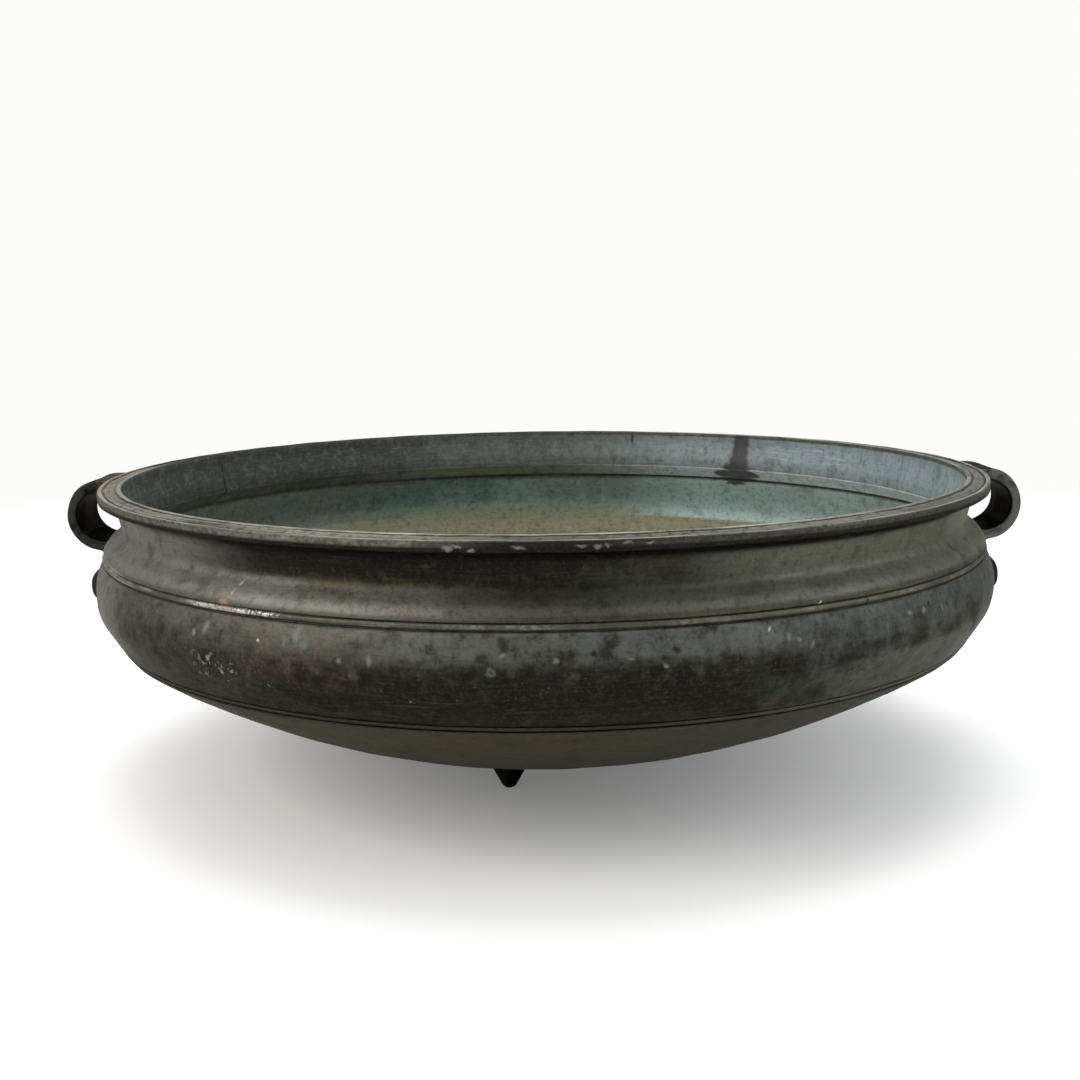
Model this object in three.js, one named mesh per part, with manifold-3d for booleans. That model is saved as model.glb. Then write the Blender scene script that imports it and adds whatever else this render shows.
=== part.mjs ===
// An uruli: a wide, shallow cooking vessel of cast bronze, with a flanged rim, two strap
// handles and three stub feet, all cast in one. Millimetres, +Z up. The origin is on the
// ground under the vessel's axis, and the handles are on the X axis.

import * as THREE from 'three';
import { mergeVertices } from 'three/addons/utils/BufferGeometryUtils.js';
import Module from 'manifold-3d';

const wasm = await Module();
wasm.setup();

// Overall sizes
const rimDiameter = 900;     // over the rim's outer bead
const totalHeight = 300;     // from the ground to the rim's inner bead
const wall = 7;              // thickness of the cast wall
const groundClearance = 12;  // from the ground to the lowest point of the base

// Rim: a flange with a bead along each edge
const rimWidth = 22;
const rimFall = 1.8;         // how far the outer bead is below the inner one
const rimEdgeHeight = 9.3;
const rimBeadWidth = 4.6;
const rimBeadHeight = 1;     // how far both beads stand up from the flange
const coveHeight = 16.4;     // hollow moulding that carries the flange
const coveReach = 18;

// Neck and shoulder, from the cove downwards
const neckHeight = 15;
const neckTaper = 2;         // how much narrower the neck gets over its height
const flareReach = 12.5;
const flareHeight = 10.5;
const shoulderReach = 5.5;
const shoulderHeight = 10.5;

// Band of mouldings around the shoulder
const bandBeadHeight = 4.6;
const bandBeadReach = 1.3;   // how far the bead stands out beyond the shoulder
const bandGrooveWidth = 1.6;
const bandGrooveDepth = 2;

// Belly: a round turn above and below its widest ring, then a straight taper
const bellySwell = 7;        // how far the belly stands out beyond the rim
const bellyRise = 31;        // from the widest ring up to the band
const bellyTurnDrop = 25;    // from the widest ring down to the straight taper
const bellyTurnReach = 6.7;
const taperSlope = 0.63;     // inward run of the taper for each unit of drop
const taperDrop = 19;

// Line of two thin grooves above the corner where the belly meets the base
const lowerBeadHeight = 3.2;
const lowerGrooveWidth = 1.4;
const lowerGrooveDepth = 1.2;
const cornerDrop = 2.6;      // from the lower groove to the corner
const cornerReach = 1.2;

// Strap handles: three quarters of a ring seen from the side, with a tail below it
const handleWidth = 69;
const handleThickness = 10.6;
const handleLoopRadius = 37.2;
const handleSetOut = 9;      // from the rim's outer edge out to the centre of the ring
const handleBelowRim = 3.4;  // from the rim's level down to the top of the strap
const handleEdge = 1.8;      // chamfer along the strap's edges
const tailReach = 18.4;      // how far the tail stands out beyond the belly
const tailRoot = 3;          // how far the strap between the ring and the tail does
const tailDrop = 37;         // from the bottom of the ring down to the tail's crest
const tailEndDrop = 52;      // from the bottom of the ring down to the tail's end

// Stub feet
const footCount = 3;
const footCircleRadius = 150;
const footTurn = 14.5;       // degrees from the front to the first foot, clockwise from above
const footTipRadius = 4;
const footRound = 4.5;       // rounding around the tip
const footTaper = 0.55;      // run of the foot's side for each unit of height
const footFillet = 7;

// How finely round forms are divided
const bodySteps = 60;
const mouldingSteps = 3;
const beadSteps = 4;
const baseSteps = 8;
const insideSteps = 6;
const loopSteps = 12;
const footSteps = 16;

// Radii and levels that follow from the sizes above
const rimRadius = rimDiameter / 2;
const mouthRadius = rimRadius - rimWidth;
const rimEdgeTop = totalHeight - rimFall;
const coveTop = rimEdgeTop - rimEdgeHeight;
const neckTop = coveTop - coveHeight;
const neckTopRadius = rimRadius - coveReach;
const neckLevel = neckTop - neckHeight;
const neckRadius = neckTopRadius - neckTaper;
const flareLevel = neckLevel - flareHeight;
const flareRadius = neckRadius + flareReach;
const bandTop = flareLevel - shoulderHeight;
const bandRadius = flareRadius + shoulderReach;
const flareAngle = Math.atan(flareReach / flareHeight);
const shoulderCrease = neckLevel - (flareReach + shoulderReach) / Math.tan(flareAngle);
const bandBottom = bandTop - 2 * bandGrooveWidth - bandBeadHeight;
const bellyRadius = rimRadius + bellySwell;
const bellyLevel = bandBottom - bellyRise;
const taperTop = bellyLevel - bellyTurnDrop;
const taperTopRadius = bellyRadius - bellyTurnReach;
const taperBottom = taperTop - taperDrop;
const taperBottomRadius = taperTopRadius - taperSlope * taperDrop;
const lowerBeadBottom = taperBottom - 2 * lowerGrooveWidth - lowerBeadHeight;
const cornerLevel = lowerBeadBottom - cornerDrop;
const cornerRadius = taperBottomRadius - taperSlope * (taperBottom - lowerBeadBottom) - cornerReach;

// The base is a cap of a sphere from the corner down to the lowest point
const capRise = cornerLevel - groundClearance;
const capRadius = (cornerRadius ** 2 + capRise ** 2) / (2 * capRise);
const capCentre = groundClearance + capRadius;
const capAngle = Math.asin(cornerRadius / capRadius);

const degrees = Math.PI / 180;

// Adds a curve from the last point towards a control point and on to its end
function curve(points, control, end) {
  const start = points[points.length - 1];
  const arc = new THREE.QuadraticBezierCurve(start, control, end);
  points.push(...arc.getPoints(mouldingSteps).slice(1));
}

// Adds an upright half-round bead on a level base, from its inner side to its outer one
function rimBead(points, innerRadius, base) {
  for (let i = 0; i <= beadSteps; i += 1) {
    const angle = Math.PI * (1 - i / beadSteps);
    points.push(new THREE.Vector2(
      innerRadius + (rimBeadWidth / 2) * (1 + Math.cos(angle)),
      base + rimBeadHeight * Math.sin(angle),
    ));
  }
}

// A groove cut in below the last point, down to a ring of the given radius
function groove(points, width, depth, lowerRadius) {
  const start = points[points.length - 1];
  points.push(new THREE.Vector2(Math.min(start.x, lowerRadius) - depth, start.y - width / 2));
  points.push(new THREE.Vector2(lowerRadius, start.y - width));
}

// Rings of a spherical cap, from its corner down to the axis
function cap(radius, steps) {
  const points = [];
  for (let i = 0; i <= steps; i += 1) {
    const angle = capAngle * (1 - i / steps);
    points.push(new THREE.Vector2(radius * Math.sin(angle), capCentre - radius * Math.cos(angle)));
  }
  points[steps].x = 0;
  return points;
}

// Top of the flange, from the mouth out to its outer edge
function rimProfile() {
  const points = [];
  rimBead(points, mouthRadius, totalHeight - rimBeadHeight);
  rimBead(points, rimRadius - rimBeadWidth, rimEdgeTop - rimBeadHeight);
  return points;
}

// Cove, neck and flared shoulder, down to the band
function neckProfile() {
  const points = [new THREE.Vector2(rimRadius, coveTop)];
  for (let i = 1; i <= mouldingSteps; i += 1) {
    const angle = (90 * degrees * i) / mouldingSteps;
    points.push(new THREE.Vector2(
      rimRadius - coveReach * Math.sin(angle),
      neckTop + coveHeight * Math.cos(angle),
    ));
  }
  points.push(new THREE.Vector2(neckRadius, neckLevel));
  points.push(new THREE.Vector2(flareRadius, flareLevel));
  curve(
    points,
    new THREE.Vector2(bandRadius, flareLevel - shoulderReach),
    new THREE.Vector2(bandRadius, bandTop),
  );
  return points;
}

// The shoulder's band: a bead between two grooves
function bandProfile(points) {
  groove(points, bandGrooveWidth, bandGrooveDepth, bandRadius);
  const beadTop = bandTop - bandGrooveWidth;
  const crest = bandRadius + 2 * bandBeadReach;
  curve(
    points,
    new THREE.Vector2(crest, beadTop - bandBeadHeight / 2),
    new THREE.Vector2(bandRadius, beadTop - bandBeadHeight),
  );
  groove(points, bandGrooveWidth, bandGrooveDepth, bandRadius + bandBeadReach);
}

// The belly's round turns and its straight taper down to the thin grooves
function bellyProfile(points) {
  curve(
    points,
    new THREE.Vector2(bellyRadius, bellyLevel + bellyRise / 2),
    new THREE.Vector2(bellyRadius, bellyLevel),
  );
  curve(
    points,
    new THREE.Vector2(bellyRadius, taperTop + bellyTurnReach / taperSlope),
    new THREE.Vector2(taperTopRadius, taperTop),
  );
  points.push(new THREE.Vector2(taperBottomRadius, taperBottom));
}

// Two thin grooves with a narrow bead between them, then the corner
function lowerLineProfile(points) {
  const taperAt = (level) => taperBottomRadius - taperSlope * (taperBottom - level);
  const beadTop = taperBottom - lowerGrooveWidth;
  const beadBottom = beadTop - lowerBeadHeight;
  groove(points, lowerGrooveWidth, lowerGrooveDepth, taperAt(beadTop));
  points.push(new THREE.Vector2(taperAt(beadBottom), beadBottom));
  groove(points, lowerGrooveWidth, lowerGrooveDepth, taperAt(lowerBeadBottom));
  points.push(new THREE.Vector2(cornerRadius, cornerLevel));
}

// The inside, from the mouth down to the axis, at a distance outside the inner surface
function insideProfile(offset) {
  const depth = wall - offset;
  const cornerShift = depth * Math.tan(flareAngle / 2);
  const points = [
    new THREE.Vector2(mouthRadius + offset, totalHeight),
    new THREE.Vector2(mouthRadius + offset, coveTop),
    new THREE.Vector2(neckRadius - depth, neckLevel + neckHeight / 2),
    new THREE.Vector2(neckRadius - depth, neckLevel - cornerShift),
    new THREE.Vector2(bandRadius - depth, shoulderCrease - cornerShift),
    new THREE.Vector2(bandRadius + bandBeadReach - depth, bandBottom),
    new THREE.Vector2(bellyRadius - depth, bellyLevel),
    new THREE.Vector2(taperTopRadius - depth, taperTop),
  ];
  return points.concat(cap(capRadius - depth, insideSteps));
}

// A profile that starts and ends on the axis, turned around the Z axis
function turned(points, steps) {
  const geometry = new THREE.LatheGeometry(points, steps);
  geometry.rotateX(90 * degrees);
  return geometry;
}

// A closed geometry as a solid that can be joined and cut
function solid(geometry) {
  geometry.deleteAttribute('normal');
  geometry.deleteAttribute('uv');
  const merged = mergeVertices(geometry);
  const corners = merged.index.array;
  const triangles = [];
  for (let i = 0; i < corners.length; i += 3) {
    const [a, b, c] = corners.slice(i, i + 3);
    if (a !== b && b !== c && c !== a) {
      triangles.push(a, b, c);
    }
  }
  return new wasm.Manifold(new wasm.Mesh({
    numProp: 3,
    vertProperties: new Float32Array(merged.attributes.position.array),
    triVerts: new Uint32Array(triangles),
  }));
}

// The vessel's wall: its outside from the axis up to the rim, then its inside down again
function makeWall() {
  const outside = neckProfile();
  bandProfile(outside);
  bellyProfile(outside);
  lowerLineProfile(outside);
  outside.push(...cap(capRadius, baseSteps).slice(1));
  const profile = outside.reverse();
  profile.push(...rimProfile().reverse());
  profile.push(...insideProfile(0).slice(1));
  return solid(turned(profile, bodySteps));
}

// Everything further in than the middle of the wall, which trims what is cast on to it
function makeCore() {
  const profile = insideProfile(wall / 2).reverse();
  profile.push(new THREE.Vector2(0, totalHeight));
  return solid(turned(profile, bodySteps));
}

// Side of the strap handle at +X: the ring from the rim's edge to the shoulder, then the tail
function handleOutline() {
  const centre = rimRadius + handleSetOut;
  const top = totalHeight - handleBelowRim;
  const level = top - handleLoopRadius;
  const bottom = level - handleLoopRadius;
  const innerRadius = handleLoopRadius - handleThickness;
  const rootAngle = -Math.PI / 2 - Math.asin((centre - neckRadius) / (2 * innerRadius));
  const topAngle = 95 * degrees;
  const rootX = bellyRadius + tailRoot;
  const tailX = bellyRadius + tailReach;
  const tailLevel = bottom - tailDrop;
  const endLevel = bottom - tailEndDrop;

  const outline = new THREE.Shape();
  outline.moveTo(mouthRadius + rimWidth / 2, top);
  outline.lineTo(centre, top);
  outline.absarc(centre, level, handleLoopRadius, Math.PI / 2, -80 * degrees, true);
  outline.quadraticCurveTo(rootX, bottom, rootX, bottom - handleThickness / 2);
  outline.bezierCurveTo(
    rootX, bottom - tailDrop / 2,
    tailX, bottom - tailDrop / 2,
    tailX, tailLevel,
  );
  outline.quadraticCurveTo(tailX, endLevel, tailX - tailReach / 2, endLevel);
  outline.lineTo(neckRadius, endLevel);
  outline.lineTo(neckRadius, level + innerRadius * Math.sin(rootAngle));
  outline.absarc(centre, level, innerRadius, rootAngle, topAngle, false);
  outline.lineTo(mouthRadius + rimWidth / 2, level + innerRadius + handleEdge);
  return outline;
}

// The strap: its outline across the handle's width, with chamfered edges
function makeHandle(turn) {
  const geometry = new THREE.ExtrudeGeometry(handleOutline(), {
    depth: handleWidth - 2 * handleEdge,
    bevelThickness: handleEdge,
    bevelSize: handleEdge,
    bevelOffset: -handleEdge,
    bevelSegments: 1,
    curveSegments: loopSteps,
  });
  geometry.translate(0, 0, handleEdge - handleWidth / 2);
  geometry.rotateX(90 * degrees);
  geometry.rotateZ(turn);
  return solid(geometry);
}

// A stub foot: a blunt cone with a flat tip, filleted into the base
function makeFoot(turn) {
  const surface = capCentre - Math.sqrt(capRadius ** 2 - footCircleRadius ** 2);
  const rise = surface + wall;
  const sideAt = (level) => footTipRadius + footRound + footTaper * (level - footRound);
  const points = [new THREE.Vector2(0, 0), new THREE.Vector2(footTipRadius, 0)];
  curve(
    points,
    new THREE.Vector2(footTipRadius + footRound / 2, 0),
    new THREE.Vector2(sideAt(footRound), footRound),
  );
  points.push(new THREE.Vector2(sideAt(surface - footFillet), surface - footFillet));
  curve(
    points,
    new THREE.Vector2(sideAt(surface - footFillet / 2), surface - footFillet / 2),
    new THREE.Vector2(sideAt(surface) + footFillet, rise),
  );
  points.push(new THREE.Vector2(0, rise));
  const geometry = turned(points, footSteps);
  geometry.translate(0, -footCircleRadius, 0);
  geometry.rotateZ(turn);
  return solid(geometry);
}

// The whole casting
function makeBowl() {
  const core = makeCore();
  let bowl = makeWall();
  for (const turn of [0, Math.PI]) {
    bowl = bowl.add(makeHandle(turn).subtract(core));
  }
  for (let i = 0; i < footCount; i += 1) {
    const turn = (i * 360) / footCount - footTurn;
    bowl = bowl.add(makeFoot(turn * degrees).subtract(core));
  }
  const mesh = bowl.getMesh();
  const geometry = new THREE.BufferGeometry();
  geometry.setAttribute('position', new THREE.BufferAttribute(mesh.vertProperties, mesh.numProp));
  geometry.setIndex(new THREE.BufferAttribute(mesh.triVerts, 1));
  geometry.computeVertexNormals();
  return geometry;
}

const castBronze = new THREE.MeshStandardMaterial({
  name: 'cast bronze',
  color: 0x56534a,
  roughness: 0.6,
  metalness: 0.8,
});

const bowl = new THREE.Mesh(makeBowl(), castBronze);
bowl.name = 'bowl';

const uruli = new THREE.Group();
uruli.add(bowl);

export default uruli;
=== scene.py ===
# An uruli, a wide shallow cooking vessel of cast bronze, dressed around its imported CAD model.
import math

import bmesh
import bpy
import numpy as np
from mathutils import Matrix, Vector


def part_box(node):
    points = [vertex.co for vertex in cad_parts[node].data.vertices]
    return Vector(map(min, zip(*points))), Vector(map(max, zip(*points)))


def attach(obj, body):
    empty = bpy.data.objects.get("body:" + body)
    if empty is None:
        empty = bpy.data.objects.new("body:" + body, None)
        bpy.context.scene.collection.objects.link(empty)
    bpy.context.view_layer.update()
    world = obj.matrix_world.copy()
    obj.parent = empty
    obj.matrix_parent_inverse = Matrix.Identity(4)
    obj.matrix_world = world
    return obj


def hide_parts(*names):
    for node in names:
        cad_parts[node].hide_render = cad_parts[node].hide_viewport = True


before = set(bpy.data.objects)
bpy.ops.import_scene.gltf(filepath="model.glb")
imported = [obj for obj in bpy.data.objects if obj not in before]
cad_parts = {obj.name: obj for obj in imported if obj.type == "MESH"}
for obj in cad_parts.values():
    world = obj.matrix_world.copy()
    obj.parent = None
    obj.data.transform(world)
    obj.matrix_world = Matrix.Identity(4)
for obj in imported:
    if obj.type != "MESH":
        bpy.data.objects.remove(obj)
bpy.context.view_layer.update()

mm = 0.001
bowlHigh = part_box("bowl")[1]

scene = bpy.context.scene
scene.view_settings.view_transform = "Standard"

# The vessel's wall, in millimetres
vessel = {
    "around": 384,             # vertices around each ring
    "height": bowlHigh.z / mm,
    "belly": bowlHigh.y / mm,  # radius of the widest ring
    "swell": 7,                # how far the belly stands out beyond the rim
    "wall": 7,
    "clearance": 12,           # from the ground to the lowest point of the base
    "rimWidth": 22,
    "rimFall": 1.8,            # how far the outer bead is below the inner one
    "rimEdge": 9.3,            # height of the flange's outer face
    "rimBead": (4.6, 1.0),     # width and height of both beads
    "cove": (18, 16.4),        # reach and height of the hollow under the flange
    "neck": (2, 15),           # taper and height
    "flare": (12.5, 10.5),
    "neckBend": (6, 0.4),      # its height above the flare, and the share of the flare that it takes
    "shoulder": (5.5, 10.5),
    "bandBead": (1.3, 4.6),    # how far the band's bead stands out, and its height
    "bandGroove": (1.6, 1.4),  # height and depth
    "bellyRise": 31,           # from the widest ring up to the band
    "bellyTurn": (6.7, 25),    # inward reach and drop below the widest ring
    "taper": (0.63, 19),       # inward run for each unit of drop, and the drop
    "lowBead": (0.5, 3.2),
    "lowGroove": (1.4, 1.2),
    "corner": (1.2, 2.6),
    "edgeRound": 1.1,
    "turnedLines": 0.06,       # height of the fine rings that turning left
    "lumps": 0.25,             # unevenness of the casting
    "lumpSize": 42,
    "outOfRound": 0.5,
}

# Radii and levels that follow from those sizes, from the rim downwards
rimRadius = vessel["belly"] - vessel["swell"]
mouthRadius = rimRadius - vessel["rimWidth"]
rimEdgeTop = vessel["height"] - vessel["rimFall"]
coveTop = rimEdgeTop - vessel["rimEdge"]
neckTop = coveTop - vessel["cove"][1]
neckLevel = neckTop - vessel["neck"][1]
neckRadius = rimRadius - vessel["cove"][0] - vessel["neck"][0]
flareLevel = neckLevel - vessel["flare"][1]
flareRadius = neckRadius + vessel["flare"][0]
bandTop = flareLevel - vessel["shoulder"][1]
bandRadius = flareRadius + vessel["shoulder"][0]
beadTop = bandTop - vessel["bandGroove"][0]
beadBottom = beadTop - vessel["bandBead"][1]
bandBottom = beadBottom - vessel["bandGroove"][0]
bellyLevel = bandBottom - vessel["bellyRise"]
taperTop = bellyLevel - vessel["bellyTurn"][1]
taperTopRadius = vessel["belly"] - vessel["bellyTurn"][0]
taperSlope = vessel["taper"][0]
taperBottom = taperTop - vessel["taper"][1]
lowBeadTop = taperBottom - vessel["lowGroove"][0]
lowBeadBottom = lowBeadTop - vessel["lowBead"][1]
lowLineBottom = lowBeadBottom - vessel["lowGroove"][0]
cornerLevel = lowLineBottom - vessel["corner"][1]
cornerRadius = taperTopRadius - taperSlope * (taperTop - lowLineBottom) - vessel["corner"][0]
flareAngle = math.atan(vessel["flare"][0] / vessel["flare"][1])
shoulderCrease = neckLevel - (vessel["flare"][0] + vessel["shoulder"][0]) / math.tan(flareAngle)

# The base is a cap of a sphere
capRise = cornerLevel - vessel["clearance"]
capRadius = (cornerRadius ** 2 + capRise ** 2) / (2 * capRise)
capCentre = vessel["clearance"] + capRadius
capAngle = math.asin(cornerRadius / capRadius)


def capPoint(radius, share):
    angle = capAngle * share
    return radius * math.sin(angle), capCentre - radius * math.cos(angle)


def taperAt(level):
    return taperTopRadius - taperSlope * (taperTop - level), level


# Zones of the outside, each with its own material, and the level of their top; the last is open above
zones = [("base", taperBottom), ("belly", bandBottom), ("neck", coveTop), ("rim", math.inf)]


# The next few functions add points (radius, level, how far turned lines show) to a profile
def runTo(path, end, steps, lined=1.0):
    start = path[-1]
    for i in range(1, steps + 1):
        share = i / steps
        path.append((
            start[0] + (end[0] - start[0]) * share,
            start[1] + (end[1] - start[1]) * share,
            lined,
        ))


def bendTo(path, control, end, steps, lined=1.0):
    start = path[-1]
    for i in range(1, steps + 1):
        share = i / steps
        weights = ((1 - share) ** 2, 2 * share * (1 - share), share ** 2)
        path.append((
            weights[0] * start[0] + weights[1] * control[0] + weights[2] * end[0],
            weights[0] * start[1] + weights[1] * control[1] + weights[2] * end[1],
            lined,
        ))


def grooveTo(path, end, depth, steps):
    start = path[-1]
    for i in range(1, steps + 1):
        share = i / steps
        path.append((
            start[0] + (end[0] - start[0]) * share - depth * math.sin(math.pi * share),
            start[1] + (end[1] - start[1]) * share,
            0.0,
        ))


def beadTo(path, steps):  # an upright half-round bead, outwards from the last point
    width, height = vessel["rimBead"]
    start = path[-1]
    for i in range(1, steps + 1):
        angle = math.pi * (1 - i / steps)
        path.append((
            start[0] + width / 2 * (1 + math.cos(angle)),
            start[1] + height * math.sin(angle),
            0.3,
        ))


def outerProfile():
    beadWidth, beadHeight = vessel["rimBead"]
    path = [(mouthRadius, vessel["height"] - beadHeight, 0.3)]
    beadTo(path, 8)
    runTo(path, (rimRadius - beadWidth, rimEdgeTop - beadHeight), 5, 1.6)
    beadTo(path, 8)
    edgeRound = vessel["edgeRound"]
    runTo(path, (rimRadius, coveTop + edgeRound), 4, 0.6)
    bendTo(path, (rimRadius, coveTop), (rimRadius - edgeRound, coveTop), 3, 0.3)
    coveReach, coveHeight = vessel["cove"]
    startAngle = math.asin(edgeRound / coveReach)
    for i in range(1, 10):
        angle = startAngle + (math.pi / 2 - startAngle) * i / 9
        path.append((
            rimRadius - coveReach * math.sin(angle),
            neckTop + coveHeight * math.cos(angle),
            0.6,
        ))
    bendHeight, share = vessel["neckBend"]
    bendEnd = (neckRadius + vessel["flare"][0] * share, neckLevel - vessel["flare"][1] * share)
    runTo(path, (neckRadius, neckLevel + bendHeight), 5)
    bendTo(path, (neckRadius, neckLevel), bendEnd, 7)
    runTo(path, (flareRadius, flareLevel), 4)
    bendTo(path, (bandRadius, flareLevel - vessel["shoulder"][0]), (bandRadius, bandTop), 6)
    grooveTo(path, (bandRadius, beadTop), vessel["bandGroove"][1], 6)
    crest = bandRadius + 2 * vessel["bandBead"][0]
    bendTo(path, (crest, (beadTop + beadBottom) / 2), (bandRadius, beadBottom), 8, 0.2)
    grooveTo(path, (bandRadius + vessel["bandBead"][0], bandBottom), vessel["bandGroove"][1], 6)
    belly = vessel["belly"]
    bendTo(path, (belly, bellyLevel + vessel["bellyRise"] / 2), (belly, bellyLevel), 14)
    turnControl = taperTop + vessel["bellyTurn"][0] / taperSlope
    bendTo(path, (belly, turnControl), (taperTopRadius, taperTop), 12)
    runTo(path, taperAt(taperBottom), 9)
    grooveTo(path, taperAt(lowBeadTop), vessel["lowGroove"][1], 5)
    middle, level = taperAt((lowBeadTop + lowBeadBottom) / 2)
    bendTo(path, (middle + 2 * vessel["lowBead"][0], level), taperAt(lowBeadBottom), 4, 0.2)
    grooveTo(path, taperAt(lowLineBottom), vessel["lowGroove"][1], 5)
    bendTo(path, (cornerRadius, cornerLevel), capPoint(capRadius, 0.99), 4, 0.3)
    for i in range(1, 29):
        path.append((*capPoint(capRadius, 0.99 * (1 - i / 28)), 1.0))
    return path


def innerProfile():
    wall = vessel["wall"]
    shift = wall * math.tan(flareAngle / 2)
    corners = [  # radius, level and rounding
        (mouthRadius, vessel["height"] - vessel["rimBead"][1], 0),
        (mouthRadius, coveTop, 6),
        (neckRadius - wall, neckLevel + vessel["neck"][1] / 2, 5),
        (neckRadius - wall, neckLevel - shift, 2),
        (bandRadius - wall, shoulderCrease - shift, 3),
        (bandRadius + vessel["bandBead"][0] - wall, bandBottom, 5),
        (vessel["belly"] - wall, bellyLevel, 13),
        (taperTopRadius - wall, taperTop, 9),
        (*capPoint(capRadius - wall, 1), 10),
        (*capPoint(capRadius - wall, 0.95), 0),
    ]
    spacing = 4
    path = [(*corners[0][:2], 0.3)]
    for before, here, after in zip(corners, corners[1:], corners[2:]):
        corner = Vector(here[:2])
        entry = corner + (Vector(before[:2]) - corner).normalized() * here[2]
        leave = corner + (Vector(after[:2]) - corner).normalized() * here[2]
        run = (entry - Vector(path[-1][:2])).length
        runTo(path, entry, max(1, round(run / spacing)))
        bendTo(path, corner, leave, 4)
    for i in range(28):
        path.append((*capPoint(capRadius - wall, 0.95 * (1 - i / 27)), 1.0))
    return path


# A smooth random field between about -1 and 1, with features of one size
def swells(points, size, seed):
    random = np.random.default_rng(seed)
    count = 24
    directions = random.normal(size=(count, 3))
    directions /= np.linalg.norm(directions, axis=1)[:, None]
    waves = directions * (math.tau / (size * random.uniform(0.8, 1.6, count)))[:, None]
    phases = random.uniform(0, math.tau, count)
    return np.cos(points @ waves.T + phases).sum(1) / math.sqrt(count)


def meshObject(name, points, faces):
    mesh = bpy.data.meshes.new(name)
    mesh.from_pydata([tuple(p) for p in np.asarray(points) * mm], [], faces)
    mesh.validate()
    made = bpy.data.objects.new(name, mesh)
    scene.collection.objects.link(made)
    return made


# The wall: both profiles turned around the axis, uneven as a casting is
def makeWall():
    outer, inner = outerProfile(), innerProfile()
    profile = np.array(inner[::-1] + outer[1:])
    innerRings = len(inner) - 1
    around = vessel["around"]
    tangents = np.gradient(profile[:, :2], axis=0)
    normals = np.stack([-tangents[:, 1], tangents[:, 0]], 1)
    normals /= np.linalg.norm(normals, axis=1)[:, None]
    random = np.random.default_rng(11)
    lines = random.uniform(-1, 1, len(profile)) * vessel["turnedLines"] * profile[:, 2]
    angles = np.arange(around) * math.tau / around
    rings = profile[1:-1]
    radii = rings[:, 0, None] + np.zeros(around)
    levels = rings[:, 1, None] + np.zeros(around)
    middles = np.stack([radii * np.sin(angles), -radii * np.cos(angles), levels], -1)
    field = swells(middles.reshape(-1, 3), vessel["lumpSize"], 5).reshape(radii.shape)
    field *= vessel["lumps"] * np.minimum(0.35 + 0.65 * rings[:, 2, None], 1)
    fade = 0.7 + 0.3 * np.sin(angles * 3 + 1)
    offset = field + lines[1:-1, None] * fade
    radii = radii + offset * normals[1:-1, 0, None]
    levels = levels + offset * normals[1:-1, 1, None]
    oval = 0.6 * np.cos(2 * angles + 0.8) + 0.4 * np.cos(3 * angles + 2.1)
    radii = radii + vessel["outOfRound"] * oval * rings[:, 0, None] / rimRadius
    points = np.stack([radii * np.sin(angles), -radii * np.cos(angles), levels], -1).reshape(-1, 3)
    innerPole, outerPole = len(points), len(points) + 1
    points = np.vstack([points, [0, 0, profile[0, 1]], [0, 0, profile[-1, 1]]])
    faces = []
    lastRing = (len(rings) - 1) * around
    for j in range(around):
        k = (j + 1) % around
        faces.append((innerPole, j, k))
        faces.append((outerPole, lastRing + k, lastRing + j))
    for i in range(len(rings) - 1):
        a, b = i * around, (i + 1) * around
        for j in range(around):
            k = (j + 1) % around
            faces.append((a + j, b + j, b + k, a + k))
    made = meshObject("castUruli", points, faces)
    middleLevels = (rings[:-1, 1] + rings[1:, 1]) / 2
    zone = np.searchsorted([top for name, top in zones[:-1]], middleLevels)
    zone[:innerRings - 1] = len(zones)  # the inside's material comes after those of the zones
    zone = np.concatenate([np.tile([len(zones), 0], around), np.repeat(zone, around)])
    made.data.polygons.foreach_set("material_index", zone.astype(np.int32))
    return made


strap = {
    "width": 69,
    "thickness": 10.6,
    "loop": 37.2,           # outer radius of the ring that the strap makes
    "belowRim": 3.4,
    "edgeRound": 2.6,
    "tailReach": 18.4,      # how far the tail stands out beyond the belly
    "tailRoot": 3,
    "tailDrop": 37,         # from the bottom of the ring down to the tail's crest
    "tailEndDrop": 52,
    "rootSpread": 3.5,      # how much wider the strap gets where it joins the wall
    "rootReach": 3.2,
    "sunk": 5,              # how deep in the wall its hidden side runs
    "overlap": 4,           # degrees by which the finger gap's curve runs on into the wall
    "undersideRise": 1.8,   # of the strap's underside towards the rim
    "sideMargin": 1.2,      # narrow strip inside the edge that keeps the sides flat
    "unevenness": 0.35,
    "lumpSize": 30,
}


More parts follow.
